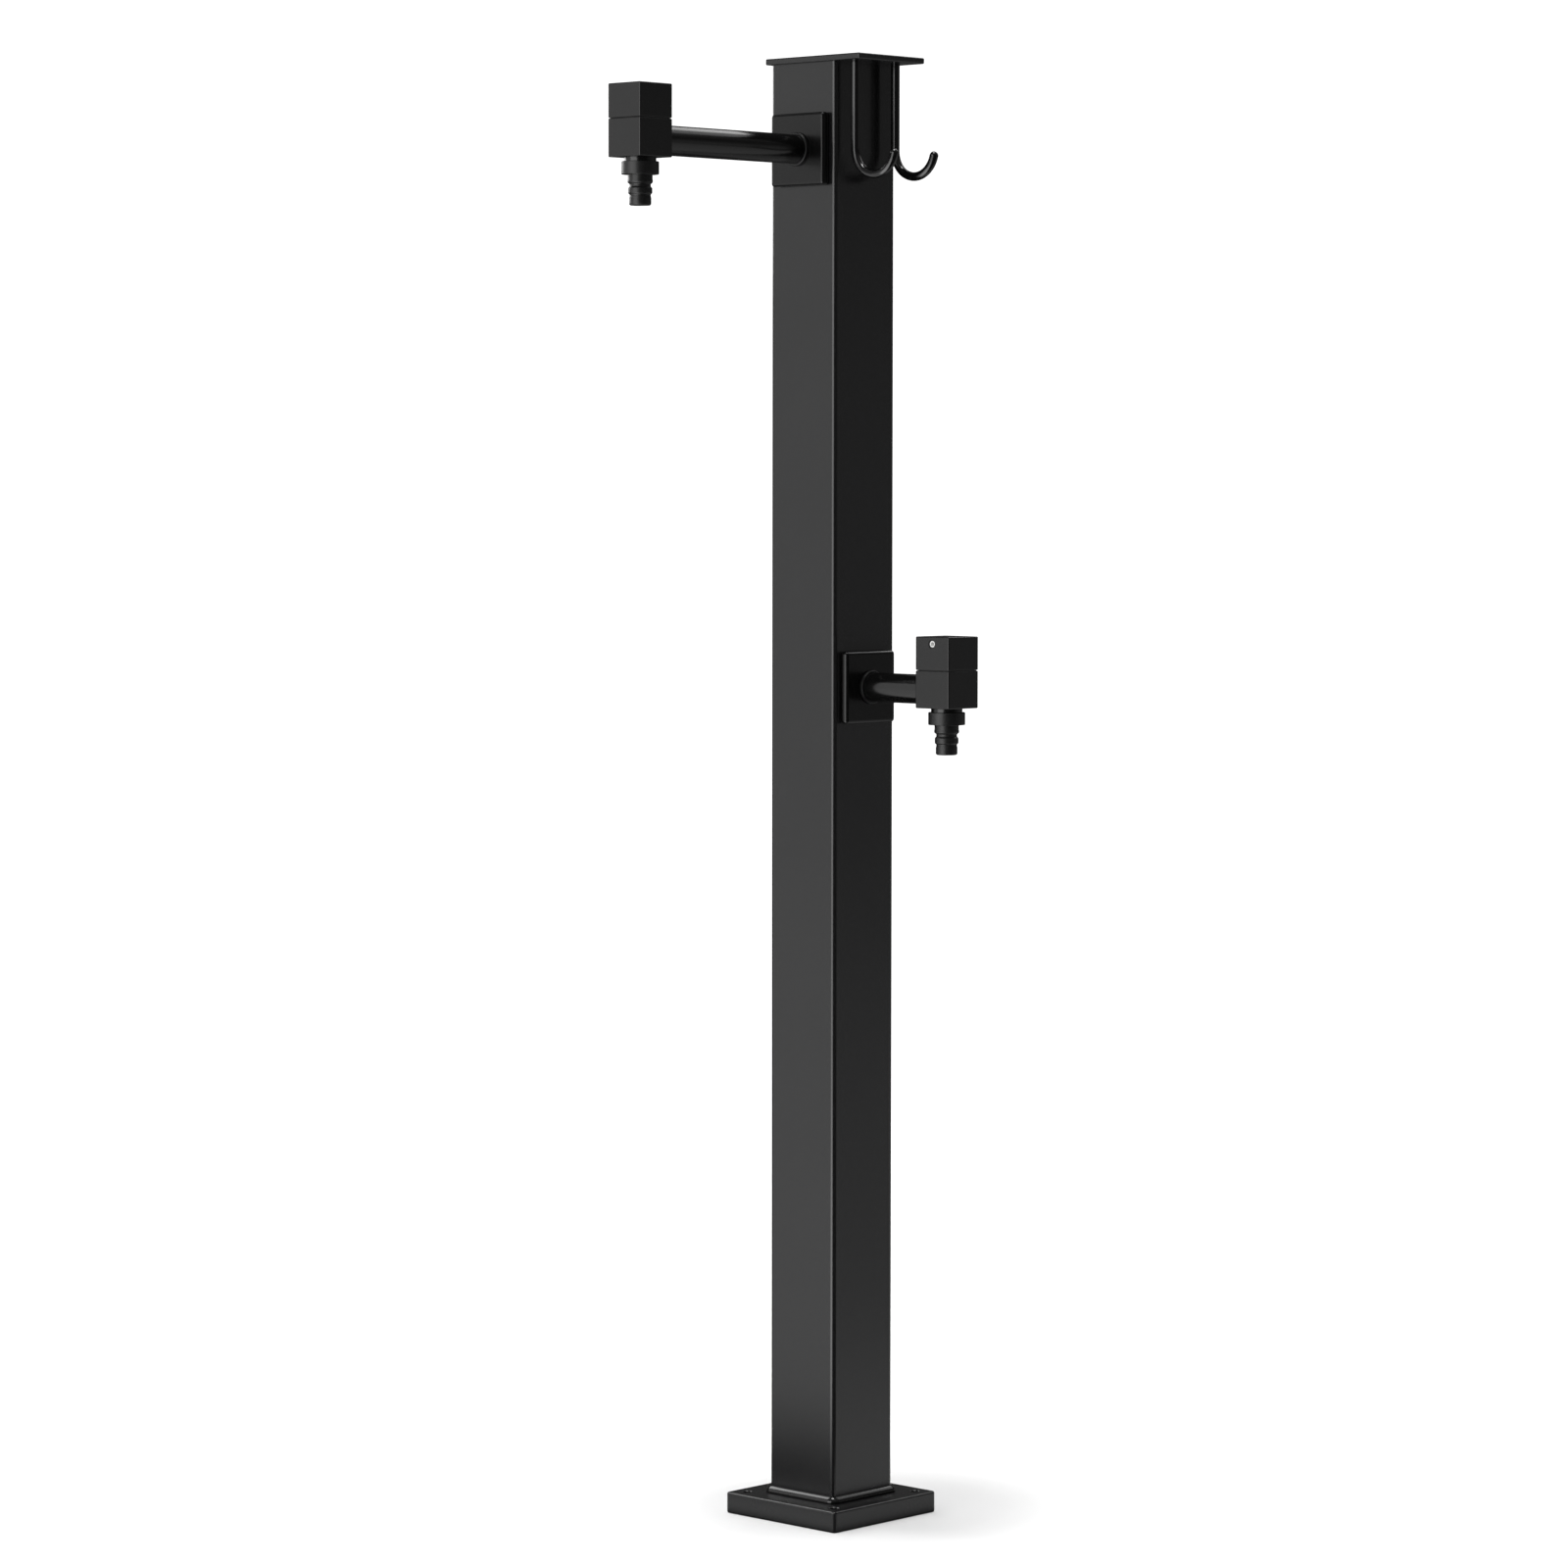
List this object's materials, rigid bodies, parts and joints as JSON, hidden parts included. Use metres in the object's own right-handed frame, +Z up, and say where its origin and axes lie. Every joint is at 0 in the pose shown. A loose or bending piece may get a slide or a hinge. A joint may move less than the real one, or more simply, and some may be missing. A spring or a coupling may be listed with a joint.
{
  "type": "garden standpipe",
  "caption": "Square garden standpipe column on a foot plate with a long and a short quarter-turn tap, hose nipples and hose hooks under the cap.",
  "frame": {"origin": "middle of the foot plate's underside, on the column's axis", "axes": "+Z up along the column; -Y is the front, where the long tap arm points; +X is the side where the short tap arm and the hose hooks point"},
  "size_m": [0.1719, 0.2523, 1],
  "materials": {
    "powder_coat": "satin",
    "black_tap_finish": "satin",
    "hook_enamel": "gloss",
    "sealing_bead": "gloss",
    "black_nipple": "satin",
    "cast_aluminium": "machined",
    "zinc_steel": "zinc plated",
    "bright_screw": "polished",
    "brass": "turned",
    "copper": "drawn copper",
    "seal_rubber": "matt",
    "ceramic": "lapped ceramic"
  },
  "bodies": {
    "standpipe": {"base_plate": "powder_coat", "foot_bead": "sealing_bead", "foot_block": "cast_aluminium", "foot_block_screws": "zinc_steel", "column": "powder_coat", "column_foot_screws": "powder_coat", "cap_plate": "powder_coat", "cap_insert": "cast_aluminium", "cap_insert_screws": "zinc_steel", "cap_side_screws": "powder_coat", "left_hose_hook": "hook_enamel", "right_hose_hook": "hook_enamel", "inlet_coupling": "brass", "inlet_nut": "brass", "lower_riser": "copper", "side_tee": "brass", "upper_riser": "copper", "front_elbow": "brass", "front_arm": "black_tap_finish", "front_washer": "zinc_steel", "front_locknut": "brass", "front_gasket": "seal_rubber", "front_cover": "black_tap_finish", "front_ring": "black_tap_finish", "front_tap_body": "black_tap_finish", "front_headwork": "brass", "front_seat_seal": "seal_rubber", "front_fixed_disc": "ceramic", "front_spindle_seal": "seal_rubber", "front_outlet_adapter": "black_nipple", "front_outlet_washer": "seal_rubber", "side_arm": "black_tap_finish", "side_washer": "zinc_steel", "side_locknut": "brass", "side_gasket": "seal_rubber", "side_cover": "black_tap_finish", "side_ring": "black_tap_finish", "side_tap_body": "black_tap_finish", "side_headwork": "brass", "side_seat_seal": "seal_rubber", "side_fixed_disc": "ceramic", "side_spindle_seal": "seal_rubber", "side_outlet_adapter": "black_nipple", "side_outlet_washer": "seal_rubber"},
    "front_handle": {"front_knob": "black_tap_finish", "front_spindle": "brass", "front_moving_disc": "ceramic", "front_knob_screw": "bright_screw"},
    "side_handle": {"side_knob": "black_tap_finish", "side_spindle": "brass", "side_moving_disc": "ceramic", "side_knob_screw": "bright_screw"}
  },
  "joints": [
    {"name": "front_tap_turn", "type": "hinge", "parent": "standpipe", "child": "front_handle", "pos_m": [0, -0.1857, 0.9623], "axis": [0, 0, 1], "range_deg": [0, 90]},
    {"name": "side_tap_turn", "type": "hinge", "parent": "standpipe", "child": "side_handle", "pos_m": [0.1053, 0, 0.5977], "axis": [0, 0, 1], "range_deg": [0, 90]}
  ]
}
